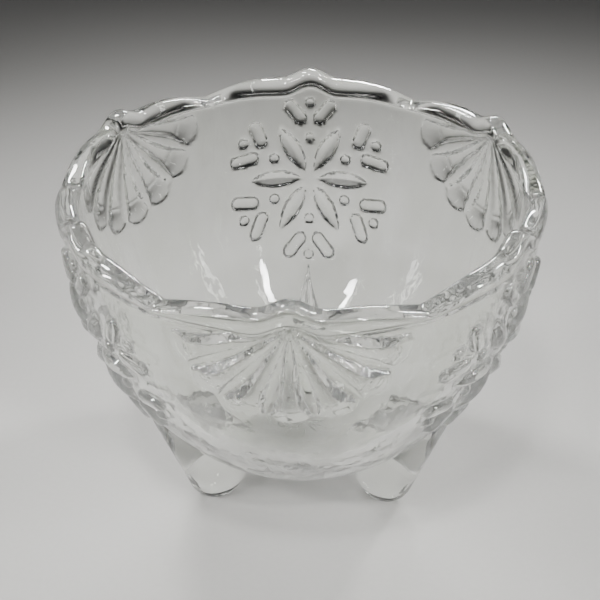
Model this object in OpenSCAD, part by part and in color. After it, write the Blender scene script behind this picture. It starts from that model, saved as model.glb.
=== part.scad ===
// Footed candy dish of pressed glass, with a scalloped rim, fans, snow flowers and three toes.
// Millimetres, +Z up. The origin is on the table, under the middle of the bowl.
// A lobe of the rim, a flower and a toe point along +Y. The dish repeats itself every 120 degrees.

/* [Bowl] */
// Radius of the outside of the wall at the height of the rim notches
wall_r = 56.8; // [52:0.2:70]
// Height of the rim notches above the table
notch_h = 86.5; // [84:0.5:110]
// Height of the middle of the underside above the table
base_h = 9; // [6:0.5:11]
// Thickness of the wall
wall_t = 4.4; // [3:0.1:6]
// Thickness of the floor at its middle
floor_t = 6; // [4:0.2:9]

/* [Rim] */
// How far the rolled lip stands out from the wall
lip_proud = 0.9; // [0.4:0.1:1.5]
// Height of the rolled lip along a lobe
lip_h = 4.6; // [3:0.2:6]
// Height of the rolled lip where it runs out at the notches
lip_notch_h = 1.8; // [1:0.2:3]
// How far the shoulders of a lobe rise above the notches
shoulder_rise = 3.3; // [1:0.1:6]
// Half the width of the level top of a lobe
level_half_w = 12; // [10:0.5:16]
// How far the point of a lobe rises above its shoulders
tip_rise = 2.7; // [0:0.1:5]
// Half the width of the point of a lobe
tip_half_w = 8.5; // [6:0.5:10]

/* [Fans] */
// Number of blades in a fan
blades = 7; // [3:2:9]
// Angle between neighbouring blades
blade_pitch = 23.5; // [18:0.5:24]
// Distance from the fan's centre to the start of a blade
blade_start = 5; // [4:0.5:8]
// Distance from the fan's centre to the end of a blade
blade_end = 27; // [20:0.5:28]
// Gap between the wide ends of neighbouring blades
blade_gap = 0.3; // [0.2:0.1:2]
// How far the ridge of a blade stands out from the wall at its wide end
blade_proud = 2; // [1:0.1:2.4]

/* [Flowers] */
// Distance down the wall from the rim notches to the centre of a flower
flower_drop = 26.7; // [25:0.1:30]
// Distance from the flower's centre to the start of a petal
petal_start = 2.3; // [1.5:0.1:4]
// Distance from the flower's centre to the end of a petal
petal_end = 17.5; // [14:0.1:18]
// Half the width of a petal
petal_half_w = 2.6; // [1.5:0.1:3]
// How far a petal stands out from the wall
petal_proud = 1.6; // [0.8:0.1:2]
// Distance from the flower's centre to the inner dots
inner_dot_at = 12; // [10:0.1:13]
// Distance from the flower's centre to the middle of a bud
bud_at = 20.2; // [20:0.1:22]
// Length of a bud
bud_l = 8.4; // [6:0.1:9]
// Half the width of a bud
bud_half_w = 1.9; // [1.2:0.1:2]
// Distance from the flower's centre to the outer dots
outer_dot_at = 22.6; // [22:0.1:25]
// Radius of a dot
dot_r = 1.8; // [1:0.1:2]
// How far a bud or a dot stands out from the wall
bud_proud = 1.1; // [0.6:0.1:1.4]

/* [Toes] */
// Distance from the middle of the dish to the tip of a toe
toe_at = 25.6; // [22:0.2:28]
// Radius of the tip of a toe, seen from the side
toe_tip_r = 8; // [6:0.2:9]
// Height up to which a toe runs up the wall
toe_top_h = 37; // [34:0.5:39]
// Half the width of a toe at its widest
toe_half_w = 7.5; // [5:0.1:9]
// Radius of the tip of a toe, seen from outside
toe_nose_r = 4.5; // [3:0.1:5]
// How much of the tip is cut away for the pad that it rests on
pad_depth = 0.35; // [0.2:0.05:0.6]

/* [Base star] */
// Number of rays on the underside
rays = 12; // [6:1:16]
// Distance from the middle of the underside to the start of a ray
ray_start = 2.5; // [2.5:0.5:4]
// Distance from the middle of the underside to the end of a ray
ray_end = 8.5; // [7:0.5:13]
// Half the width of a ray
ray_half_w = 0.9; // [0.5:0.1:1.2]
// How far a ray stands out from the underside
ray_proud = 0.6; // [0.3:0.1:0.8]

/* [Hidden] */
$fn = 48;

// How steeply the raised shapes fall off from their ridges
petal_fall = 0.45;
bud_fall = 0.15;
blade_fall = 0.25;
ray_fall = 0.3;
// Distance down the wall from the height of the notches to the centre of a fan
fan_drop = 0.3;
// Half the width of a blade at its round end, which leaves the gap to its neighbours
blade_spread = sin(blade_pitch / 2);
blade_end_r = (blade_end * blade_spread - blade_gap) / (1 + blade_spread);

// Directions of the motifs, in degrees from +X
back = 90;
left = 210;
right = 330;
front = 270;
lobes = 6;
lobe_angle = 360 / lobes;

out_depth = notch_h - base_h;
inner_r = wall_r - wall_t;
inner_depth = out_depth - floor_t;
// Height to which the plain turned shapes run before the rim is cut
tall = notch_h + shoulder_rise + tip_rise + 2;
// A size larger than the whole dish, for cutting shapes
far = 3 * wall_r;

// The side and the bottom of the bowl follow half an ellipse, in bands of this many degrees
band = 6;
// Turns the line on which the turned outside closes to the middle between two rays,
// or clear of the fan or flower that is cut at it
seam = 180 / rays;
away = 60;
function oval_x(r, angle) = r * cos(angle);
function oval_z(depth, angle) = notch_h - depth * sin(angle);

// Heights of the rim along one lobe, at distance t from the lobe's middle
notch_t = (wall_r + lip_proud) * sin(lobe_angle / 2);
function shoulder_z(t) =
    shoulder_rise * (1 - pow(max(0, abs(t) - level_half_w) / (notch_t - level_half_w), 2));
function tip_z(t) = abs(t) < tip_half_w ? tip_rise * (1 + cos(180 * t / tip_half_w)) / 2 : 0;
function lobe_z(t) = notch_h + shoulder_z(t) + tip_z(t);
// Height of the lip at distance t, where the notch of this lobe is at the end of the lobe
function lip_drop(t) = lip_h - (lip_h - lip_notch_h) * pow(min(1, abs(t) / notch_t), 3);
// Places along a lobe, closer together near its point, and on past its notches
rim_steps = 10;
function rim_t(i) = sign(i) * 1.1 * notch_t * pow(abs(i) / rim_steps, 1.5);

// The place on the outside of the wall at a distance v down it from the height of the notches.
// The wall curves in as it goes down, so the angle of the ellipse grows a little faster than v.
lift_share = 0.06;
function wall_angle(v) = v / out_depth * 180 / PI * (1 + v / out_depth * lift_share);
function wall_radius(v) = oval_x(wall_r, wall_angle(v));
function wall_height(v) = oval_z(out_depth, wall_angle(v));
function wall_tilt(v) = atan(wall_r / out_depth * tan(wall_angle(v)));
// Radius of the outside of the bowl at a height
function wall_radius_at(z) = oval_x(wall_r, asin((notch_h - z) / out_depth));

// Radius of the arcs of a pointed oval
function oval_arc_r(half_l, half_w) = (half_l * half_l + half_w * half_w) / (2 * half_w);

// The outline that turns into a round-bottomed solid, up to the height "tall"
module turned_outline(r, depth) {
    polygon(concat(
        [[0, tall], [r, tall]],
        [for (angle = [0 : band : 90]) [oval_x(r, angle), oval_z(depth, angle)]]
    ));
}

module bowl_outside() {
    rotate_extrude($fn = 180) turned_outline(wall_r, out_depth);
}

module bowl_inside() {
    rotate_extrude($fn = 180) turned_outline(inner_r, inner_depth);
}

// Everything below the scalloped rim, or below its lip when "lip" is 1.
// Each outline runs through two opposite lobes, and the highest one counts where they cross.
module below_rim(lip) {
    beyond = notch_h - shoulder_rise - lip * lip_h;
    reach = far / 2 + lip;
    for (i = [0 : lobes / 2 - 1])
        rotate([90, 0, i * lobe_angle])
            translate([0, 0, -reach])
                linear_extrude(2 * reach)
                    polygon(concat(
                        [for (j = [-rim_steps : rim_steps])
                            [rim_t(j), lobe_z(rim_t(j)) - lip * lip_drop(rim_t(j))]],
                        [
                            [reach, beyond],
                            [reach, -1 - lip],
                            [-reach, -1 - lip],
                            [-reach, beyond]
                        ]
                    ));
}

// Puts a shape on the wall with X pointing out of it, Y around it and Z up it
module on_wall(u, v) {
    rotate([0, 0, u / wall_radius(v) * 180 / PI])
        translate([wall_radius(v), 0, wall_height(v)])
            rotate([0, wall_tilt(v), 0])
                children();
}

// Raises an outline out of the wall, to a ridge along its length that falls off to both sides.
// The outline's length runs along its X, at an angle from the wall's Y towards its Z.
module raised(angle, height, fall, lean = 0) {
    sunk = 3;
    rotate([angle, 0, 0])
        intersection() {
            rotate([0, 90, 0])
                rotate([0, 0, 90])
                    translate([0, 0, -sunk])
                        linear_extrude(sunk + height + 2)
                            children();
            rotate([0, 0, -lean])
                rotate([90, 0, 0])
                    translate([0, 0, -far / 2])
                        linear_extrude(far)
                            polygon([
                                [height, 0],
                                [height - fall * far / 4, far / 4],
                                [-far / 2, far / 4],
                                [-far / 2, -far / 4],
                                [height - fall * far / 4, -far / 4]
                            ]);
        }
}

// A pointed oval, long in X
module oval(length, half_w) {
    arc_r = oval_arc_r(length / 2, half_w);
    intersection() {
        translate([0, arc_r - half_w]) circle(r = arc_r, $fn = 120);
        translate([0, half_w - arc_r]) circle(r = arc_r, $fn = 120);
    }
}

// A bar with round ends, long in X
module stadium(length, half_w) {
    straight = length / 2 - half_w;
    translate([straight, 0]) circle(r = half_w);
    translate([-straight, 0]) circle(r = half_w);
    translate([-straight, -half_w]) square([2 * straight, 2 * half_w]);
}

// A tongue that widens from "start" to a round end, long in X
module tongue(start, end, start_half_w, end_half_w) {
    round_at = end - end_half_w;
    translate([round_at, 0]) circle(r = end_half_w);
    polygon([
        [start, -start_half_w],
        [start, start_half_w],
        [round_at, end_half_w],
        [round_at, -end_half_w]
    ]);
}

// The blades of one fan, before the wall is cut out of them
module fan_blades() {
    start_half_w = 0.8;
    start_proud = 0.8;
    middle = (blade_start + blade_end) / 2;
    half_l = (blade_end - blade_start) / 2;
    lean = atan((blade_proud - start_proud) / (2 * half_l));
    for (i = [-(blades - 1) / 2 : (blades - 1) / 2]) {
        a = i * blade_pitch;
        on_wall(middle * sin(a), middle * cos(a) + fan_drop)
            raised(a - 90, (blade_proud + start_proud) / 2, blade_fall, lean)
                tongue(-half_l, half_l, start_half_w, blade_end_r);
    }
}

// One petal or bud of a flower, with its middle at a distance and a direction from the centre
module at_flower(distance, direction) {
    on_wall(distance * cos(direction), flower_drop - distance * sin(direction))
        children();
}

module flower_petals() {
    length = petal_end - petal_start;
    for (a = [0 : 60 : 300])
        at_flower((petal_start + petal_end) / 2, a)
            raised(a, petal_proud, petal_fall)
                oval(length, petal_half_w);
}

// Half the angle between the two buds of a pair, and how far each leans out from its petal
bud_spread = 12;
bud_lean = 8;

module flower_buds() {
    for (a = [30 : 60 : 330])
        for (side = [-1, 1])
            at_flower(bud_at, a + side * bud_spread)
                raised(a + side * (30 + bud_lean), bud_proud, bud_fall)
                    stadium(bud_l, bud_half_w);
}

module flower_dots() {
    for (a = [30 : 60 : 330])
        for (distance = [inner_dot_at, outer_dot_at])
            at_flower(distance, a)
                translate([bud_proud - dot_r, 0, 0])
                    rotate([0, 90, 0])
                        sphere(r = dot_r, $fn = 32);
}

// Points along an arc, from one angle to another, in this many steps
arc_steps = 8;
function arc(middle, r, from, to) =
    [for (i = [0 : arc_steps]) middle + r * [cos(from + (to - from) * i / arc_steps),
                                             sin(from + (to - from) * i / arc_steps)]];

// A toe seen from the side: a round tip, with a straight front that runs up to the wall
module toe_side() {
    tip = [toe_at, toe_tip_r - pad_depth];
    top = [wall_radius_at(toe_top_h), toe_top_h];
    reach = norm(top - tip);
    face = atan2(top[1] - tip[1], top[0] - tip[0]) - acos(toe_tip_r / reach);
    polygon(concat([top, [tip[0] - toe_tip_r, toe_top_h]], arc(tip, toe_tip_r, -180, face)));
}

// A toe seen from outside: a pointed top, a wide middle and a round nose
module toe_front() {
    nose = [0, toe_nose_r - pad_depth];
    wide = [toe_half_w, base_h + 3];
    reach = norm(wide - nose);
    face = atan2(wide[1] - nose[1], wide[0]) - acos(toe_nose_r / reach);
    polygon(concat(
        [wide, [0, toe_top_h], [-wide[0], wide[1]]],
        arc(nose, toe_nose_r, -180 - face, face)
    ));
}

module toe(direction) {
    rotate([0, 0, direction])
        difference() {
            intersection() {
                rotate([90, 0, 0])
                    translate([0, 0, -far / 2])
                        linear_extrude(far)
                            toe_side();
                rotate([90, 0, 90])
                    linear_extrude(far)
                        toe_front();
                translate([0, -far / 2, 0]) cube(far);
            }
            bowl_outside();
        }
}

module fan(direction) {
    rotate([0, 0, direction])
        difference() {
            fan_blades();
            rotate([0, 0, away]) bowl_outside();
        }
}

module flower(direction) {
    rotate([0, 0, direction])
        difference() {
            union() {
                flower_petals();
                flower_buds();
                flower_dots();
            }
            rotate([0, 0, away]) bowl_outside();
        }
}

glass = [0.86, 0.88, 0.84, 0.6];

module bowl() {
    color(glass)
        difference() {
            intersection() {
                bowl_outside();
                below_rim(1);
            }
            bowl_inside();
        }
}

module rim() {
    color(glass)
        intersection() {
            difference() {
                translate([0, 0, notch_h - 3 * lip_h])
                    cylinder(r = wall_r + lip_proud, h = tall, $fn = 180);
                bowl_inside();
                below_rim(1);
            }
            below_rim(0);
        }
}

module base_star() {
    length = ray_end - ray_start;
    middle = (ray_start + ray_end) / 2;
    angle = acos(middle / wall_r);
    tilt = atan(wall_r / out_depth * tan(angle));
    color(glass)
        difference() {
            for (i = [0 : rays - 1])
                rotate([0, 0, back + i * 360 / rays])
                    translate([middle, 0, oval_z(out_depth, angle)])
                        rotate([0, tilt, 0])
                            raised(90, ray_proud, ray_fall)
                                oval(length, ray_half_w);
            rotate([0, 0, seam]) bowl_outside();
        }
}

module toe_back() { color(glass) toe(back); }
module toe_left() { color(glass) toe(left); }
module toe_right() { color(glass) toe(right); }
module fan_front() { color(glass) fan(front); }
module fan_right() { color(glass) fan(front + 120); }
module fan_left() { color(glass) fan(front - 120); }
module flower_back() { color(glass) flower(back); }
module flower_left() { color(glass) flower(left); }
module flower_right() { color(glass) flower(right); }

bowl();
rim();
base_star();
toe_back();
toe_left();
toe_right();
fan_front();
fan_right();
fan_left();
flower_back();
flower_left();
flower_right();
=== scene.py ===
"""Looks of a three-toed candy dish of clear pressed glass.

The dish is one pressing, so it is one closed body of glass here: a lathe form with the lobes of the
rim, the rolled lip, the fans, the snow flowers and the rays raised out of it, and three solid toes
joined on. Sizes are in millimetres in the shape classes and turn into metres on the mesh.
"""

from __future__ import annotations

import logging
import math
from dataclasses import dataclass, field
from enum import Enum
from typing import Any, ClassVar, Mapping, Sequence

import bmesh
import bpy
import numpy as np
from mathutils import Matrix, Vector


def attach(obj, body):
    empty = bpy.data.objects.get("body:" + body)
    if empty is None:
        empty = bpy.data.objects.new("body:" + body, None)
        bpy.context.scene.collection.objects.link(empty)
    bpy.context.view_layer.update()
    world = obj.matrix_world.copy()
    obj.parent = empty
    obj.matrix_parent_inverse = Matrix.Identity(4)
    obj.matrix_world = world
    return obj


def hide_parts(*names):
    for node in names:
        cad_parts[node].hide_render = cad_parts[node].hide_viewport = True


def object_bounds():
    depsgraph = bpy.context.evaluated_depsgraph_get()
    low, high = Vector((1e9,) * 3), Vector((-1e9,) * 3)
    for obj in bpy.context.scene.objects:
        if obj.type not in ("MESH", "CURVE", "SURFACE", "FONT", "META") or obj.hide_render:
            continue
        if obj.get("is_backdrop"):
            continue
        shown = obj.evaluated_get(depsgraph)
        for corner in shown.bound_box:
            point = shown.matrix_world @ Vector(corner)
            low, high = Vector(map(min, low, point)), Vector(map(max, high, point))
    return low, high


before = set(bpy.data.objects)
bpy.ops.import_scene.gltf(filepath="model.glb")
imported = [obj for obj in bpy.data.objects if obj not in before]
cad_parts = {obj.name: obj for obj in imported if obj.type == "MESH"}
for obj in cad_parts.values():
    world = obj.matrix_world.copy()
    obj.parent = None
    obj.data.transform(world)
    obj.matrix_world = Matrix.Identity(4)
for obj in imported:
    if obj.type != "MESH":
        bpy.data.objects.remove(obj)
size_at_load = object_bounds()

LOG = logging.getLogger("candy_dish")
MM = 0.001


class Side(Enum):
    """The parts of the lathe outline that the rows of the mesh belong to."""

    OUTSIDE = "outside"
    UNDER_LIP = "under_lip"
    LIP = "lip"
    INSIDE_TOP = "inside_top"
    INSIDE = "inside"


class Motif(Enum):
    """Directions of the raised motifs around the dish, in degrees from +X."""

    FLOWERS = (90.0, 210.0, 330.0)
    FANS = (270.0, 30.0, 150.0)


def linear(hex_colour: str) -> tuple[float, float, float, float]:
    """Turns an sRGB colour into the linear colour that a shader takes.

    Args:
        hex_colour: six hex digits, with or without a leading hash.

    Returns:
        Red, green, blue and alpha as linear values.
    """
    digits = hex_colour.lstrip("#")
    parts = [int(digits[i : i + 2], 16) / 255 for i in (0, 2, 4)]
    red, green, blue = (c / 12.92 if c <= 0.04045 else ((c + 0.055) / 1.055) ** 2.4 for c in parts)
    return red, green, blue, 1.0


def add_node(
    tree: bpy.types.NodeTree,
    kind: str,
    settings: Mapping[str, Any] | None = None,
    links: Mapping[str | int, Any] | None = None,
) -> bpy.types.Node:
    """Adds one node, sets its properties and inputs, and links its inputs.

    Args:
        tree: the node tree that gets the node.
        kind: the node's type name.
        settings: property names, or input names or numbers, with their values.
        links: input names or numbers with the output sockets that feed them.

    Returns:
        The new node.
    """
    node = tree.nodes.new(kind)
    for key, value in (settings or {}).items():
        if isinstance(key, str) and hasattr(node, key):
            setattr(node, key, value)
        else:
            node.inputs[key].default_value = value
    for key, socket in (links or {}).items():
        tree.links.new(socket, node.inputs[key])
    return node


def smooth_step(x: np.ndarray, low: float, high: float) -> np.ndarray:
    """Rises smoothly from 0 at low to 1 at high.

    Args:
        x: where to take the values.
        low: where the rise starts.
        high: where the rise ends.

    Returns:
        The values, as many as there are in x.
    """
    t = np.clip((x - low) / (high - low), 0, 1)
    return t * t * (3 - 2 * t)


@dataclass(frozen=True)
class Wall:
    """The round bowl without its relief: half an ellipse outside and another inside."""

    radius: float = 56.8
    notch_height: float = 86.5
    base_height: float = 9.0
    thickness: float = 4.4
    floor: float = 6.0

    @property
    def depth(self) -> float:
        """Height of the notches above the middle of the underside."""
        return self.notch_height - self.base_height

    def arc_table(self, radius: float, depth: float) -> tuple[np.ndarray, np.ndarray]:
        """Measures the outline from the height of the notches down to the middle.

        Args:
            radius: half width of the ellipse.
            depth: half height of the ellipse.

        Returns:
            Angles down the ellipse and the distances along it.
        """
        angle = np.linspace(0, math.pi / 2, 2001)
        x, z = radius * np.cos(angle), depth * np.sin(angle)
        way = np.concatenate([[0], np.cumsum(np.hypot(np.diff(x), np.diff(z)))])
        return angle, way

    def outside(self, down: np.ndarray) -> tuple[np.ndarray, np.ndarray, np.ndarray]:
        """Finds places on the outside of the wall.

        Args:
            down: distances down the wall from the height of the notches; negative is above it.

        Returns:
            Radius, height and slope of the outward normal below the level, in radians.
        """
        return self.place(down, self.radius, self.depth)

    def inside(self, down: np.ndarray) -> tuple[np.ndarray, np.ndarray, np.ndarray]:
        """Finds places on the inside of the wall.

        Args:
            down: distances down the wall from the height of the notches; negative is above it.

        Returns:
            Radius, height and slope of the outward normal below the level, in radians.
        """
        return self.place(down, self.radius - self.thickness, self.depth - self.floor)

    def place(
        self, down: np.ndarray, radius: float, depth: float
    ) -> tuple[np.ndarray, np.ndarray, np.ndarray]:
        """Finds places along one of the two ellipses.

        Args:
            down: distances down the wall from the height of the notches.
            radius: half width of the ellipse.
            depth: half height of the ellipse.

        Returns:
            Radius, height and slope of the outward normal below the level, in radians.
        """
        angles, way = self.arc_table(radius, depth)
        angle = np.interp(np.maximum(down, 0), way, angles)
        tilt = np.arctan2(radius * np.sin(angle), depth * np.cos(angle))
        height = self.notch_height - depth * np.sin(angle) + np.maximum(-down, 0)
        return radius * np.cos(angle), height, tilt

    def length(self, inner: bool) -> float:
        """Measures one side of the wall from the notches to the middle.

        Args:
            inner: True for the inside of the wall.

        Returns:
            The length in millimetres.
        """
        drop = (self.thickness, self.floor) if inner else (0.0, 0.0)
        return float(self.arc_table(self.radius - drop[0], self.depth - drop[1])[1][-1])


@dataclass(frozen=True)
class Rim:
    """Six bracket-shaped lobes and the rolled lip that follows them."""

    lobes: int = 6
    shoulder_rise: float = 3.3
    level_half_width: float = 12.0
    tip_rise: float = 2.7
    tip_half_width: float = 8.5
    lip_proud: float = 0.85
    lip_height: float = 4.7
    lip_notch_height: float = 1.5
    groove_at: float = 0.6
    groove_depth: float = 0.35
    groove_width: float = 0.35
    section_points: int = 18

    def across(self, azimuth: np.ndarray, radius: float) -> np.ndarray:
        """Measures how far a direction is from the middle of its lobe.

        Args:
            azimuth: directions in degrees.
            radius: radius at which the distance is taken.

        Returns:
            The distances in millimetres, never negative.
        """
        pitch = 360 / self.lobes
        off = np.abs((azimuth - 30 + pitch / 2) % pitch - pitch / 2)
        return radius * np.sin(np.radians(off))

    def rise(self, azimuth: np.ndarray, wall: Wall) -> np.ndarray:
        """Height of the rim above its notches.

        Args:
            azimuth: directions in degrees.
            wall: the wall that the rim stands on.

        Returns:
            The heights in millimetres.
        """
        t = self.across(azimuth, wall.radius)
        notch_t = wall.radius * math.sin(math.pi / self.lobes)
        past = np.maximum(0, t - self.level_half_width) / (notch_t - self.level_half_width)
        shoulder = self.shoulder_rise * (1 - past**2)
        near = np.minimum(t / self.tip_half_width, 1)
        tip = self.tip_rise * ((1 + np.cos(np.pi * near)) / 2) ** 1.25
        return shoulder + tip

    def lip(self, azimuth: np.ndarray, wall: Wall) -> np.ndarray:
        """Height of the rolled lip, which runs out towards the notches.

        Args:
            azimuth: directions in degrees.
            wall: the wall that the rim stands on.

        Returns:
            The heights in millimetres.
        """
        share = self.across(azimuth, wall.radius) / (wall.radius * math.sin(math.pi / self.lobes))
        return self.lip_height - (self.lip_height - self.lip_notch_height) * share**3

    def groove(self, azimuth: np.ndarray, down: np.ndarray, wall: Wall) -> np.ndarray:
        """Depth of the narrow groove that runs along under the lip.

        Args:
            azimuth: directions in degrees.
            down: distances down the wall from the height of the notches.
            wall: the wall that the lip stands on.

        Returns:
            The depths in millimetres.
        """
        under = down - self.lip(azimuth, wall) + self.rise(azimuth, wall)
        return self.groove_depth * np.exp(-(((under - self.groove_at) / self.groove_width) ** 2))

    def section(self, lip: np.ndarray, wall: Wall) -> tuple[np.ndarray, np.ndarray]:
        """Traces the lip over the edge of the glass, from the wall outside to the wall inside.

        Args:
            lip: heights of the lip, one for each column of the mesh.
            wall: the wall that the lip stands on.

        Returns:
            Distances out from the wall, and heights above the edge, by point and column.
        """
        proud, thick = self.lip_proud, wall.thickness
        shrink = np.minimum(1, lip / 3.2)
        outer_turn, inner_turn = 2.1, 1.9
        ones = np.ones_like(lip)
        out = [0 * ones, 0.35 * proud * ones, 0.8 * proud * ones, proud * ones, proud * ones]
        up = [-lip, -lip + 0.12 * shrink, -lip + 0.45 * shrink, -lip + 0.95 * shrink]
        up.append(np.maximum(-2.0 * shrink, up[-1] + 0.05))
        for i in range(1, 6):
            a = math.radians(18 * i)
            out.append((proud - outer_turn * (1 - math.cos(a))) * ones)
            up.append(up[4] * (1 - math.sin(a)))
        out.append((proud - outer_turn - 0.9) * ones)
        up.append(0 * ones)
        for i in range(0, 7):
            a = math.radians(15 * i)
            out.append((-thick + inner_turn - inner_turn * math.sin(a)) * ones)
            up.append(-2.2 * shrink * (1 - math.cos(a)))
        return np.array(out), np.array(up)


@dataclass(frozen=True)
class Fan:
    """A fan of blades that spreads down the wall from under a lobe."""

    direction: float
    blades: int = 7
    pitch: float = 23.5
    drop: float = -0.6
    start: float = 0.6
    start_slope: float = 0.5
    end: float = 27.3
    end_sag: float = 2.9
    start_proud: float = 0.8
    end_proud: float = 2.3
    grow_from: float = 3.0
    grow_to: float = 21.0
    crown_fall: float = 0.3
    groove_from: float = 4.0
    groove_margin: float = 5.0
    groove_share: float = 0.3
    end_groove_share: float = 0.07
    edge_slope: float = 2.0
    bevel_slope: float = 0.3
    bevel_foot: float = 0.5
    hollow_length: float = 6.0
    hollow_depth: float = 0.3
    line_depth: float = 0.4
    line_width: float = 0.1

    def relief(self, around: np.ndarray, down: np.ndarray) -> np.ndarray:
        """Height of the fan above the wall.

        Args:
            around: distances around the wall from the middle of the fan.
            down: distances down the wall from the height of the notches.

        Returns:
            The heights in millimetres.
        """
        x, y = around, down - self.drop
        reach = np.hypot(x, y)
        turn = np.degrees(np.arctan2(x, y))
        last = (self.blades - 1) / 2
        blade = np.clip(np.round(turn / self.pitch), -last, last)
        side = np.abs(turn - blade * self.pitch) / (self.pitch / 2)
        grown = smooth_step(reach, self.grow_from, self.grow_to)
        ridge = self.start_proud + (self.end_proud - self.start_proud) * grown
        crown = ridge * (1 - self.crown_fall * side**2)
        groove_length = self.end - self.groove_margin
        along = np.clip((reach - self.groove_from) / groove_length, 0, 1)
        free = 1 - self.groove_share * np.sin(np.pi * along) ** 0.8 - side
        free = free - self.end_groove_share * along
        to_side = reach * np.radians(np.maximum(free, 0) * self.pitch / 2)
        to_end = self.end - self.end_sag * side**2.2 - reach
        edge = self.edge_slope * np.minimum(to_side, to_end)
        hollow = np.sin(np.pi * np.clip(to_end / self.hollow_length, 0, 1))
        bevel = self.bevel_foot + self.bevel_slope * to_end - self.hollow_depth * hollow
        line = self.line_depth * np.exp(-(((crown - bevel) / self.line_width) ** 2))
        begin = self.start_slope * np.maximum(reach - self.start, 0)
        height = np.minimum(np.minimum(np.minimum(crown, bevel) - line, edge), begin)
        return np.where(side < 1, np.maximum(height, 0), 0)


@dataclass(frozen=True)
class SnowFlower:
    """Six pointed petals with dots and pairs of buds between them."""

    direction: float
    drop: float = 26.7
    petal_start: float = 2.3
    petal_end: float = 17.5
    petal_half_width: float = 2.55
    petal_proud: float = 1.7
    edge_slope: float = 1.9
    roof_slope: float = 0.4
    roof_share: float = 0.55
    bud_at: float = 20.2
    bud_spread: float = 12.0
    bud_lean: float = 8.0
    bud_length: float = 8.6
    bud_half_width: float = 1.95
    bud_proud: float = 1.35
    dot_radius: float = 1.55
    dots_at: tuple[float, float] = (12.0, 22.5)
    dot_proud: float = 1.0

    def relief(self, around: np.ndarray, down: np.ndarray) -> np.ndarray:
        """Height of the flower above the wall.

        Args:
            around: distances around the wall from the middle of the flower.
            down: distances down the wall from the height of the notches.

        Returns:
            The heights in millimetres.
        """
        x, y = around, self.drop - down
        height = np.zeros_like(x)
        for petal in range(6):
            height = np.maximum(height, self.petal(x, y, petal * 60))
            between = petal * 60 + 30
            for at in self.dots_at:
                height = np.maximum(height, self.dot(x, y, at, between))
            for side in (-1, 1):
                height = np.maximum(height, self.bud(x, y, between, side))
        return height

    def petal(self, x: np.ndarray, y: np.ndarray, direction: float) -> np.ndarray:
        """Height of one petal, which has a ridge along its middle.

        Args:
            x: distances around the wall.
            y: distances up the wall.
            direction: the petal's direction in degrees.

        Returns:
            The heights in millimetres.
        """
        along, off = turned(x, y, direction)
        half = (self.petal_end - self.petal_start) / 2
        place = (along - (self.petal_start + self.petal_end) / 2) / half
        width = self.petal_half_width * (1 - np.minimum(np.abs(place), 1) ** 2.2)
        to_edge = np.maximum(width - np.abs(off), 0)
        roof = self.roof_share * self.petal_proud * (1 - place**2) + self.roof_slope * to_edge
        return np.minimum(self.edge_slope * to_edge, np.maximum(roof, 0))

    def dot(self, x: np.ndarray, y: np.ndarray, at: float, direction: float) -> np.ndarray:
        """Height of one dot, a shallow dome.

        Args:
            x: distances around the wall.
            y: distances up the wall.
            at: distance of the dot from the middle of the flower.
            direction: the dot's direction in degrees.

        Returns:
            The heights in millimetres.
        """
        along, off = turned(x, y, direction)
        away = np.hypot(along - at, off) / self.dot_radius
        return self.dot_proud * np.maximum(1 - away**2.5, 0) ** 0.55

    def bud(self, x: np.ndarray, y: np.ndarray, between: float, side: int) -> np.ndarray:
        """Height of one bud of a pair, a bar with round ends.

        Args:
            x: distances around the wall.
            y: distances up the wall.
            between: direction of the middle of the pair in degrees.
            side: -1 or 1 for the bud on either side of it.

        Returns:
            The heights in millimetres.
        """
        middle = math.radians(between + side * self.bud_spread)
        x0, y0 = self.bud_at * math.cos(middle), self.bud_at * math.sin(middle)
        along, off = turned(x - x0, y - y0, between + side * (30 + self.bud_lean))
        straight = self.bud_length / 2 - self.bud_half_width
        past = np.maximum(np.abs(along) - straight, 0)
        away = np.hypot(past, off) / self.bud_half_width
        return self.bud_proud * np.maximum(1 - away**3, 0) ** 0.55


def directions(places: np.ndarray) -> np.ndarray:
    """Gives the directions of places around the axis.

    Args:
        places: places, one a row.

    Returns:
        Directions from +X, from 0 to 360 degrees.
    """
    return np.degrees(np.arctan2(places[:, 1], places[:, 0])) % 360


def turned(x: np.ndarray, y: np.ndarray, direction: float) -> tuple[np.ndarray, np.ndarray]:
    """Gives places in the axes of a shape that points in some direction.

    Args:
        x: distances around the wall.
        y: distances up the wall.
        direction: where the shape points, in degrees.

    Returns:
        Distances along the shape and across it.
    """
    c, s = math.cos(math.radians(direction)), math.sin(math.radians(direction))
    return x * c + y * s, y * c - x * s


@dataclass(frozen=True)
class BaseStar:
    """Rays that spread from the middle of the underside."""

    rays: int = 12
    start: float = 2.5
    end: float = 8.5
    half_width: float = 0.9
    proud: float = 0.35

    def relief(self, azimuth: np.ndarray, radius: np.ndarray) -> np.ndarray:
        """Height of the rays above the underside.

        Args:
            azimuth: directions in degrees.
            radius: distances from the middle.

        Returns:
            The heights in millimetres.
        """
        pitch = 360 / self.rays
        off = np.radians((azimuth - 90 + pitch / 2) % pitch - pitch / 2)
        half = (self.end - self.start) / 2
        place = (radius * np.cos(off) - (self.start + self.end) / 2) / half
        width = self.half_width * (1 - np.minimum(np.abs(place), 1) ** 2)
        share = np.abs(radius * np.sin(off)) / np.maximum(width, 1e-6)
        return np.where(np.abs(place) < 1, self.proud * np.maximum(1 - share, 0), 0)


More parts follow.
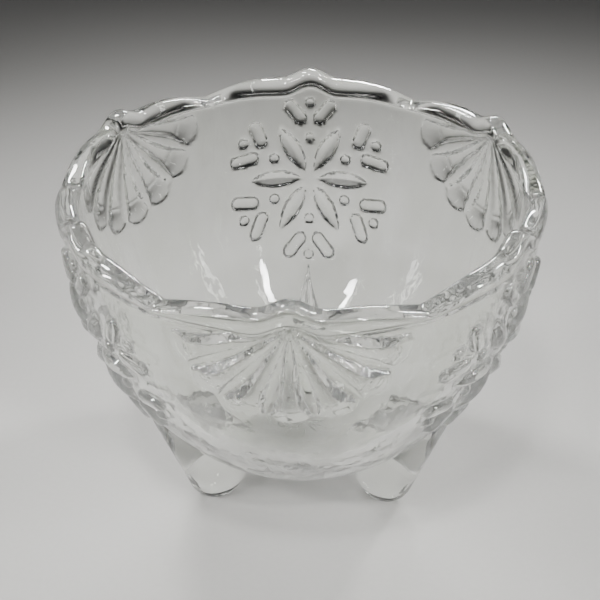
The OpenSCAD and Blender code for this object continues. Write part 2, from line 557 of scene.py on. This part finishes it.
@dataclass(frozen=True)
class Toe:
    """A solid toe that runs from a round tip up the wall to a point."""

    direction: float
    tip_at: float = 25.6
    tip_radius: float = 8.0
    top_height: float = 36.6
    half_width: float = 7.4
    wide_height: float = 11.0
    nose_half_width: float = 5.0
    nose_height: float = 4.3
    inner_lean: float = 0.35
    pad: float = 0.2

    def build(self, bm: bmesh.types.BMesh, wall: Wall) -> None:
        """Adds the toe as a closed body that reaches into the wall.

        Args:
            bm: the mesh that gets it, in metres.
            wall: the wall that the toe grows out of.
        """
        ball = bmesh.ops.create_uvsphere(bm, u_segments=48, v_segments=44, radius=1.0)["verts"]
        shaped = self.shape(np.array([v.co[:] for v in ball]), wall)
        for vert, place in zip(ball, shaped):
            vert.co = Vector(place) * MM

    def shape(self, ball: np.ndarray, wall: Wall) -> np.ndarray:
        """Turns the places of a unit ball into those of the toe.

        Args:
            ball: places on a ball, with its poles along Z.
            wall: the wall that the toe grows out of.

        Returns:
            Places on the toe in millimetres.
        """
        level = np.arccos(np.clip(-ball[:, 2], -1, 1)) / np.pi
        height = self.top_height * level**1.7
        around = np.arctan2(ball[:, 1], ball[:, 0])
        outer, inner, width = self.limits(height, wall)
        middle, half = (outer + inner) / 2, (outer - inner) / 2
        c, s = np.cos(around), np.sin(around)
        full = 2 / (2 + 0.3 * smooth_step(height, 6, 16))
        out = middle + half * np.sign(c) * np.abs(c) ** full
        side = width * np.sign(s) * np.abs(s) ** full
        a = math.radians(self.direction)
        return np.stack(
            [
                out * math.cos(a) - side * math.sin(a),
                out * math.sin(a) + side * math.cos(a),
                np.maximum(height - self.pad, 0),
            ],
            axis=1,
        )

    def limits(
        self, height: np.ndarray, wall: Wall
    ) -> tuple[np.ndarray, np.ndarray, np.ndarray]:
        """Gives how far the toe reaches out, in and to the sides.

        Args:
            height: heights above the lowest point of the toe.
            wall: the wall that the toe grows out of.

        Returns:
            Outer radius, inner radius and half width at each height.
        """
        r = self.tip_radius
        angle = math.asin((wall.notch_height - self.top_height) / wall.depth)
        top_r = wall.radius * math.cos(angle)
        lean = math.atan2(top_r - self.tip_at - r, self.top_height - r)
        swell = np.sqrt(np.maximum(r * r - (r - np.minimum(height, r)) ** 2, 0))
        face = self.tip_at + r / math.cos(lean) + (height - r) * math.tan(lean)
        turn_height = r * (1 - math.sin(lean))
        outer = np.where(height > turn_height, face, np.minimum(self.tip_at + swell, face))
        inner = self.tip_at - swell + np.maximum(height - r, 0) * self.inner_lean
        low = self.nose_half_width
        rise = np.clip(height / self.nose_height, 0, 1)
        nose = low * np.sqrt(np.maximum(1 - (1 - rise) ** 2, 0))
        grown = low + (self.half_width - low) * smooth_step(height, 2.2, self.wide_height)
        width = np.where(height < self.nose_height, np.minimum(nose, grown), grown)
        fade = np.clip((height - self.wide_height) / (self.top_height - self.wide_height), 0, 1)
        return outer, inner, width * (1 - fade**1.15)


@dataclass(frozen=True)
class GlassFinish:
    """Pressed soda-lime glass, fire polished: clear, with the faint waves the mould leaves.

    The waves run up the wall and bend what is seen through it into soft streaks. The skin is the
    much finer unevenness that fire polishing leaves, and it breaks up the edges of highlights.
    """

    name: str = "glass_soda_lime_pressed_fire_polished"
    tint: str = "FDFEFC"
    tint_low: str = "F6F8F3"
    index: float = 1.52
    waves_mm: float = 7.0
    wave_depth_mm: float = 0.18
    skin_mm: float = 1.6
    skin_depth_mm: float = 0.006

    def build(self) -> bpy.types.Material:
        """Makes the glass.

        Returns:
            The material.
        """
        material = bpy.data.materials.new(self.name)
        material.use_nodes = True
        tree = material.node_tree
        tree.nodes.clear()
        place = add_node(tree, "ShaderNodeTexCoord").outputs["Object"]
        drawn = add_node(tree, "ShaderNodeMapping", {"Scale": (1, 1, 0.35)}, {"Vector": place})
        waves = add_node(
            tree,
            "ShaderNodeTexNoise",
            {"Scale": 1 / (self.waves_mm * MM), "Detail": 2.0, "Roughness": 0.45},
            {"Vector": drawn.outputs["Vector"]},
        )
        skin = add_node(
            tree,
            "ShaderNodeTexNoise",
            {"Scale": 1 / (self.skin_mm * MM), "Detail": 3.0, "Roughness": 0.5},
            {"Vector": place},
        )
        colour = add_node(tree, "ShaderNodeValToRGB", None, {0: waves.outputs["Fac"]})
        colour.color_ramp.elements[0].position = 0.35
        colour.color_ramp.elements[0].color = linear(self.tint_low)
        colour.color_ramp.elements[1].position = 0.65
        colour.color_ramp.elements[1].color = linear(self.tint)
        rough = add_node(
            tree,
            "ShaderNodeMapRange",
            {"From Min": 0.35, "From Max": 0.75, "To Min": 0.0, "To Max": 0.035},
            {"Value": skin.outputs["Fac"]},
        )
        low = add_node(
            tree,
            "ShaderNodeBump",
            {"Strength": 1.0, "Distance": self.wave_depth_mm * MM},
            {"Height": waves.outputs["Fac"]},
        )
        fine = add_node(
            tree,
            "ShaderNodeBump",
            {"Strength": 1.0, "Distance": self.skin_depth_mm * MM},
            {"Height": skin.outputs["Fac"], "Normal": low.outputs["Normal"]},
        )
        surface = add_node(
            tree,
            "ShaderNodeBsdfPrincipled",
            {"IOR": self.index, "Transmission Weight": 1.0, "Metallic": 0.0},
            {
                "Base Color": colour.outputs["Color"],
                "Roughness": rough.outputs["Result"],
                "Normal": fine.outputs["Normal"],
            },
        )
        add_node(
            tree,
            "ShaderNodeOutputMaterial",
            None,
            {"Surface": surface.outputs["BSDF"]},
        )
        return material


@dataclass(frozen=True)
class FloorFinish:
    """Smooth pale paper, as a studio sweep is made of.

    Its grain is drawn coarser than real fibres, which are too fine to show.
    """

    name: str = "paper_sweep_matt"
    colour: str = "A8A7A4"
    colour_low: str = "A3A29F"
    grain_mm: float = 1.4

    def build(self) -> bpy.types.Material:
        """Makes the paper.

        Returns:
            The material.
        """
        material = bpy.data.materials.new(self.name)
        material.use_nodes = True
        tree = material.node_tree
        tree.nodes.clear()
        place = add_node(tree, "ShaderNodeTexCoord").outputs["Object"]
        grain = add_node(
            tree,
            "ShaderNodeTexNoise",
            {"Scale": 1 / (self.grain_mm * MM), "Detail": 4.0},
            {"Vector": place},
        )
        colour = add_node(tree, "ShaderNodeValToRGB", None, {0: grain.outputs["Fac"]})
        colour.color_ramp.elements[0].color = linear(self.colour_low)
        colour.color_ramp.elements[1].color = linear(self.colour)
        surface = add_node(
            tree,
            "ShaderNodeBsdfPrincipled",
            {"Roughness": 0.85, "Specular IOR Level": 0.2},
            {"Base Color": colour.outputs["Color"]},
        )
        add_node(
            tree,
            "ShaderNodeOutputMaterial",
            None,
            {"Surface": surface.outputs["BSDF"]},
        )
        return material


@dataclass
class Outline:
    """Rows of the lathe form, from the middle of the underside over the rim to the inner middle."""

    wall: Wall
    rim: Rim
    fine_step: float = 0.9
    relief_end: float = 52.0
    join: float = 10.0
    star_length: float = 14.0
    inner_middle: float = 8.0
    sides: list[Side] = field(default_factory=list)
    values: list[float] = field(default_factory=list)

    def add(self, side: Side, values: Sequence[float]) -> None:
        """Adds rows to the outline.

        Args:
            side: the part of the outline that they belong to.
            values: distances down the wall, shares of a stretch, or numbers of lip points.
        """
        self.sides += [side] * len(values)
        self.values += [float(v) for v in values]

    def build(self) -> Outline:
        """Lays out all rows.

        Returns:
            The outline itself.
        """
        wall, outer = self.wall, self.wall.length(False)
        inner = wall.length(True)
        star_end = outer - self.star_length
        self.add(Side.OUTSIDE, np.linspace(outer, star_end, 13))
        self.add(Side.OUTSIDE, np.linspace(star_end, self.relief_end, 19)[1:])
        steps = round((self.relief_end - self.join) / self.fine_step)
        self.add(Side.OUTSIDE, np.linspace(self.relief_end, self.join, steps + 1)[1:])
        self.add(Side.UNDER_LIP, np.linspace(0, 1, 18)[1:-1])
        self.add(Side.LIP, range(self.rim.section_points))
        self.add(Side.INSIDE_TOP, np.linspace(0, 1, 7)[1:-1])
        middle = inner - self.inner_middle
        self.add(Side.INSIDE, np.linspace(self.join, middle, 22))
        self.add(Side.INSIDE, np.linspace(middle, inner, 5)[1:])
        return self

    def plain(self) -> list[tuple[float, float]]:
        """Traces the outline without lobes or relief, for turning.

        Returns:
            Radius and height of every row in millimetres.
        """
        lip = np.array([self.rim.lip_height])
        out, up = self.rim.section(lip, self.wall)
        places = []
        for side, value in zip(self.sides, self.values):
            if side is Side.OUTSIDE:
                r, z, _ = self.wall.outside(np.array(value))
            elif side is Side.UNDER_LIP:
                r, z, _ = self.wall.outside(np.array(self.join * (1 - value)))
            elif side is Side.LIP:
                r = self.wall.radius + out[int(value), 0]
                z = self.wall.notch_height + self.rim.lip_height + up[int(value), 0]
            elif side is Side.INSIDE_TOP:
                r, z, _ = self.wall.inside(np.array(self.join * value))
            else:
                r, z, _ = self.wall.inside(np.array(value))
            places.append((float(r), float(z)))
        return places


@dataclass
class PressedDish:
    """The whole dish, one closed body of glass."""

    OUTSIDE: ClassVar[int] = -1
    INSIDE: ClassVar[int] = -2

    finish: GlassFinish
    wall: Wall = Wall()
    rim: Rim = Rim()
    star: BaseStar = BaseStar()
    columns: int = 384
    crease_steps: tuple[float, ...] = (0.06, 0.05, 0.05)
    crease_end: float = 56.0
    motif_reach: float = 32.0
    motif_end: float = 55.0
    star_from: float = 60.0
    fans: list[Fan] = field(default_factory=list)
    flowers: list[SnowFlower] = field(default_factory=list)
    toes: list[Toe] = field(default_factory=list)

    def build(self) -> bpy.types.Object:
        """Turns the outline, raises the relief and joins the toes.

        Returns:
            The dish, without its material.
        """
        self.fans = [Fan(d) for d in Motif.FANS.value]
        self.flowers = [SnowFlower(d) for d in Motif.FLOWERS.value]
        self.toes = [Toe(d) for d in Motif.FLOWERS.value]
        outline = Outline(self.wall, self.rim).build()
        bm = self.turn(outline)
        self.mark(bm, outline)
        for step in self.crease_steps:
            self.refine(bm, step)
        self.mould(bm)
        mesh = bpy.data.meshes.new("pressed_dish")
        bm.to_mesh(mesh)
        bm.free()
        dish = bpy.data.objects.new("pressed_dish", mesh)
        bpy.context.scene.collection.objects.link(dish)
        self.join_toes(dish)
        for polygon in dish.data.polygons:
            polygon.use_smooth = True
        return dish

    def turn(self, outline: Outline) -> bmesh.types.BMesh:
        """Turns the plain outline into a closed body.

        Args:
            outline: the rows of the body.

        Returns:
            The plain body, in millimetres.
        """
        bm = bmesh.new()
        verts = [bm.verts.new((r, 0, z)) for r, z in outline.plain()]
        edges = [bm.edges.new(pair) for pair in zip(verts, verts[1:])]
        bmesh.ops.spin(
            bm,
            geom=verts + edges,
            cent=(0, 0, 0),
            axis=(0, 0, 1),
            angle=2 * math.pi,
            steps=self.columns,
            use_merge=True,
        )
        bmesh.ops.remove_doubles(bm, verts=bm.verts, dist=1e-4)
        bmesh.ops.recalc_face_normals(bm, faces=bm.faces)
        return bm

    def mark(self, bm: bmesh.types.BMesh, outline: Outline) -> None:
        """Notes on every point how far down the wall it is and what it belongs to.

        Args:
            bm: the plain body.
            outline: the rows that it was turned from.
        """
        places = np.array([v.co[:] for v in bm.verts])
        rows = self.nearest_row(np.hypot(places[:, 0], places[:, 1]), places[:, 2], outline)
        values = np.array(outline.values)[rows]
        sides = np.array([s.value for s in outline.sides])[rows]
        azimuth = directions(places)
        rise = self.rim.rise(azimuth, self.wall)
        lip = self.rim.lip(azimuth, self.wall)
        under = lip - rise
        inner = -(rise + self.rim.section(lip, self.wall)[1][-1])
        low = outline.join
        down = np.where(sides == Side.UNDER_LIP.value, low + (under - low) * values, values)
        down = np.where(sides == Side.INSIDE_TOP.value, inner + (low - inner) * values, down)
        inside = (sides == Side.INSIDE.value) | (sides == Side.INSIDE_TOP.value)
        lip_or_outside = np.where(sides == Side.LIP.value, values, self.OUTSIDE)
        kind = np.where(inside, self.INSIDE, lip_or_outside)
        down_layer = bm.verts.layers.float.new("down")
        kind_layer = bm.verts.layers.float.new("kind")
        for vert, d, k in zip(bm.verts, down, kind):
            vert[down_layer], vert[kind_layer] = d, k

    def read(self, bm: bmesh.types.BMesh) -> tuple[np.ndarray, np.ndarray, np.ndarray]:
        """Reads back what mark() noted.

        Args:
            bm: the plain body.

        Returns:
            Places, distances down the wall and kinds of all points.
        """
        down_layer = bm.verts.layers.float["down"]
        kind_layer = bm.verts.layers.float["kind"]
        notes = np.array([(*v.co, v[down_layer], v[kind_layer]) for v in bm.verts])
        return notes[:, :3], notes[:, 3], notes[:, 4]

    def refine(self, bm: bmesh.types.BMesh, step: float) -> None:
        """Cuts the edges that cross a crease of the relief.

        Args:
            bm: the plain body.
            step: how far a straight edge may be from the relief, in millimetres.
        """
        bm.verts.index_update()
        bm.edges.ensure_lookup_table()
        places, down, kind = self.read(bm)
        ends = np.array([(e.verts[0].index, e.verts[1].index) for e in bm.edges])
        plain = (kind[ends] == self.OUTSIDE).all(axis=1)
        plain &= (down[ends] < self.crease_end).all(axis=1)
        picked = np.nonzero(plain)[0]
        ends = ends[picked]
        height = self.height_at(places, down)
        middle = self.height_at(places[ends].mean(axis=1), down[ends].mean(axis=1))
        off = np.abs(middle - height[ends].mean(axis=1)) > step
        edges = [bm.edges[i] for i in picked[off]]
        bmesh.ops.subdivide_edges(bm, edges=edges, cuts=1, use_grid_fill=True)

    def height_at(self, places: np.ndarray, down: np.ndarray) -> np.ndarray:
        """Height of the relief at places of the plain body.

        Args:
            places: places on the outside of the wall.
            down: their distances down the wall.

        Returns:
            The heights in millimetres.
        """
        return self.relief(directions(places), down, self.wall.outside(down)[0])

    def mould(self, bm: bmesh.types.BMesh) -> None:
        """Moves every point of the plain body to where the mould puts it, in metres.

        Args:
            bm: the plain body.
        """
        places, down, kind = self.read(bm)
        azimuth = directions(places)
        rise = self.rim.rise(azimuth, self.wall)
        section_out, section_up = self.rim.section(self.rim.lip(azimuth, self.wall), self.wall)
        point = np.clip(np.round(kind), 0, self.rim.section_points - 1).astype(int)
        column = np.arange(len(kind))
        out_r, out_z, tilt = self.wall.outside(down)
        height = self.height_at(places, down)
        in_r, in_z, _ = self.wall.inside(down)
        lip_r = self.wall.radius + section_out[point, column]
        lip_z = self.wall.notch_height + rise + section_up[point, column]
        outside, inside = kind == self.OUTSIDE, kind == self.INSIDE
        radius = np.where(outside, out_r + height * np.cos(tilt), np.where(inside, in_r, lip_r))
        level = np.where(outside, out_z - height * np.sin(tilt), np.where(inside, in_z, lip_z))
        a = np.radians(azimuth)
        for vert, r, z, c, s in zip(bm.verts, radius * MM, level * MM, np.cos(a), np.sin(a)):
            vert.co = (r * c, r * s, z)
        many = [f for f in bm.faces if len(f.verts) > 4]
        bmesh.ops.triangulate(bm, faces=many)

    def nearest_row(self, radius: np.ndarray, height: np.ndarray, outline: Outline) -> np.ndarray:
        """Finds the row of the outline that each point came from.

        Args:
            radius: distances of the points from the axis.
            height: heights of the points.
            outline: the rows.

        Returns:
            The number of each point's row.
        """
        plain = np.array(outline.plain())
        nearest = np.empty(len(radius), dtype=int)
        for start in range(0, len(radius), 4000):
            part = slice(start, start + 4000)
            away = np.abs(radius[part, None] - plain[None, :, 0])
            away += np.abs(height[part, None] - plain[None, :, 1])
            nearest[part] = np.argmin(away, axis=1)
        return nearest

    def relief(self, azimuth: np.ndarray, down: np.ndarray, radius: np.ndarray) -> np.ndarray:
        """Height of all motifs above the outside of the wall.

        Args:
            azimuth: directions in degrees.
            down: distances down the wall.
            radius: radius of the wall there.

        Returns:
            The heights in millimetres.
        """
        height = self.star.relief(azimuth, radius)
        height = np.where(down > self.star_from, height, 0)
        for motif in [*self.fans, *self.flowers]:
            off = (azimuth - motif.direction + 180) % 360 - 180
            around = np.radians(off) * radius
            here = (np.abs(around) < self.motif_reach) & (down < self.motif_end)
            height = np.maximum(height, np.where(here, motif.relief(around, down), 0))
        return height - self.rim.groove(azimuth, down, self.wall)

    def join_toes(self, dish: bpy.types.Object) -> None:
        """Joins the toes to the dish so that no glass wall is left between them.

        Args:
            dish: the dish.
        """
        bm = bmesh.new()
        for toe in self.toes:
            toe.build(bm, self.wall)
        bmesh.ops.recalc_face_normals(bm, faces=bm.faces)
        mesh = bpy.data.meshes.new("toes")
        bm.to_mesh(mesh)
        bm.free()
        toes = bpy.data.objects.new("toes", mesh)
        bpy.context.scene.collection.objects.link(toes)
        union = dish.modifiers.new("join_toes", "BOOLEAN")
        union.operation = "UNION"
        union.solver = "EXACT"
        union.object = toes
        shown = bpy.context.evaluated_depsgraph_get()
        joined = bpy.data.meshes.new_from_object(dish.evaluated_get(shown))
        dish.modifiers.clear()
        dish.data = joined
        joined.name = "pressed_dish"
        bpy.data.objects.remove(toes)

    def dress(self, dish: bpy.types.Object) -> None:
        """Gives the dish its glass and its place in the frame.

        Args:
            dish: the finished dish.
        """
        dish.data.materials.clear()
        dish.data.materials.append(self.finish.build())
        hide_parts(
            "bowl",
            "rim",
            "base_star",
            "toe_back",
            "toe_left",
            "toe_right",
            "fan_front",
            "fan_right",
            "fan_left",
            "flower_back",
            "flower_left",
            "flower_right",
        )
        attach(dish, "root")
        LOG.info("pressed_dish: %d triangles", sum(len(p.vertices) - 2 for p in dish.data.polygons))


@dataclass(frozen=True)
class SoftBox:
    """A soft studio lamp."""

    name: str
    place: tuple[float, float, float]
    aim: tuple[float, float, float]
    width: float
    height: float
    watts: float
    spread: float = 38.0
    colour: str = "FFFFFF"

    def build(self) -> bpy.types.Object:
        """Makes the lamp.

        Returns:
            The lamp, linked to the scene.
        """
        lamp = bpy.data.lights.new(self.name, "AREA")
        lamp.shape = "RECTANGLE"
        lamp.size, lamp.size_y = self.width, self.height
        lamp.energy = self.watts
        lamp.spread = math.radians(self.spread)
        lamp.color = linear(self.colour)[:3]
        holder = bpy.data.objects.new(self.name, lamp)
        look = Vector(self.aim) - Vector(self.place)
        holder.matrix_world = (
            Matrix.Translation(self.place) @ look.to_track_quat("-Z", "Y").to_matrix().to_4x4()
        )
        bpy.context.scene.collection.objects.link(holder)
        return holder


@dataclass
class Studio:
    """Floor, soft light and camera."""

    floor_finish: FloorFinish = FloorFinish()
    elevation: float = 35.07
    azimuth: float = 2.741
    roll: float = 0.313
    distance: float = 0.30372
    target: tuple[float, float] = (-0.000487, 0.05436)
    focal_length: float = 72.154
    lamp_distance: float = 0.85
    aim_height: float = 0.05
    room_low: str = "2A2B2D"
    room_high: str = "8A8B90"
    room_strength: float = 0.16
    bounces: int = 40
    glossy_bounces: int = 32

    # Direction and height of each lamp in radians, then its width, its height and its watts
    LAMPS: ClassVar[tuple[tuple[float, float, float, float, float], ...]] = (
        (2.3, 0.95, 0.12, 0.12, 0.3),
        (0.7, 0.8, 0.09, 0.09, 0.2),
        (1.5, 0.5, 0.3, 0.04, 0.26),
        (4.5, 1.15, 0.08, 0.08, 0.14),
        (3.3, 0.45, 0.03, 0.4, 0.32),
        (6.0, 0.45, 0.03, 0.4, 0.32),
        (5.3, 0.7, 0.04, 0.3, 0.2),
        (4.0, 0.8, 0.04, 0.3, 0.2),
    )

    def build(self) -> None:
        """Makes everything around the dish."""
        self.lay_floor()
        self.light()
        self.set_camera()
        self.let_light_through()

    def let_light_through(self) -> None:
        """Lets light turn inside the thick glass often enough to come out again."""
        paths = bpy.context.scene.cycles
        paths.max_bounces = self.bounces
        paths.transmission_bounces = self.bounces
        paths.glossy_bounces = self.glossy_bounces

    def lay_floor(self) -> None:
        """Lays a floor much larger than the view."""
        bm = bmesh.new()
        bmesh.ops.create_grid(bm, x_segments=2, y_segments=2, size=3.0)
        mesh = bpy.data.meshes.new("floor")
        bm.to_mesh(mesh)
        bm.free()
        floor = bpy.data.objects.new("floor", mesh)
        floor.data.materials.append(self.floor_finish.build())
        bpy.context.scene.collection.objects.link(floor)
        floor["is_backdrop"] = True

    def light(self) -> None:
        """Lights the dish from above and behind, against a quiet grey room."""
        aim = (0.0, 0.0, self.aim_height)
        for i, (turn, rise, width, height, watts) in enumerate(self.LAMPS):
            level = self.lamp_distance * math.cos(rise)
            place = (
                level * math.cos(turn),
                level * math.sin(turn),
                self.lamp_distance * math.sin(rise),
            )
            SoftBox(f"softbox_{i}", place, aim, width, height, watts).build()
        world = bpy.data.worlds.new("studio")
        bpy.context.scene.world = world
        world.use_nodes = True
        tree = world.node_tree
        tree.nodes.clear()
        place = add_node(tree, "ShaderNodeTexCoord").outputs["Generated"]
        split = add_node(tree, "ShaderNodeSeparateXYZ", None, {0: place})
        fade = add_node(tree, "ShaderNodeValToRGB", None, {0: split.outputs["Z"]})
        fade.color_ramp.elements[0].position = 0.0
        fade.color_ramp.elements[0].color = linear(self.room_low)
        fade.color_ramp.elements[1].position = 0.75
        fade.color_ramp.elements[1].color = linear(self.room_high)
        sky = add_node(
            tree,
            "ShaderNodeBackground",
            {"Strength": self.room_strength},
            {"Color": fade.outputs["Color"]},
        )
        add_node(tree, "ShaderNodeOutputWorld", None, {"Surface": sky.outputs["Background"]})

    def set_camera(self) -> None:
        """Sets the camera where the dish is seen from above its front."""
        e, a, roll = (math.radians(v) for v in (self.elevation, self.azimuth, self.roll))
        back = Vector((math.sin(a) * math.cos(e), -math.cos(a) * math.cos(e), math.sin(e)))
        right = Vector((math.cos(a), math.sin(a), 0))
        up = back.cross(right)
        target = right * self.target[0] + Vector((0, 0, self.target[1]))
        x_axis = right * math.cos(roll) - up * math.sin(roll)
        y_axis = right * math.sin(roll) + up * math.cos(roll)
        turn = Matrix((x_axis, y_axis, back)).transposed().to_4x4()
        lens = bpy.data.cameras.new("camera")
        lens.lens = self.focal_length
        lens.sensor_width = 36.0
        lens.clip_start = 0.01
        camera = bpy.data.objects.new("camera", lens)
        camera.matrix_world = Matrix.Translation(target + back * self.distance) @ turn
        bpy.context.scene.collection.objects.link(camera)
        bpy.context.scene.camera = camera


def main() -> None:
    """Builds the dish and the studio around it."""
    logging.basicConfig(level=logging.INFO, format="%(name)s: %(message)s")
    dish = PressedDish(GlassFinish())
    body = dish.build()
    dish.dress(body)
    Studio().build()
    LOG.info("studio built")
    sizes = {"before": as_lists(size_at_load), "after": as_lists(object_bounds())}


def as_lists(value: Any) -> Any:
    """Turns vectors and tuples into plain lists.

    Args:
        value: a number, or numbers nested in any sequence.

    Returns:
        The same numbers in lists.
    """
    try:
        return [as_lists(v) for v in value]
    except TypeError:
        return float(value)


if __name__ == "__main__":
    main()
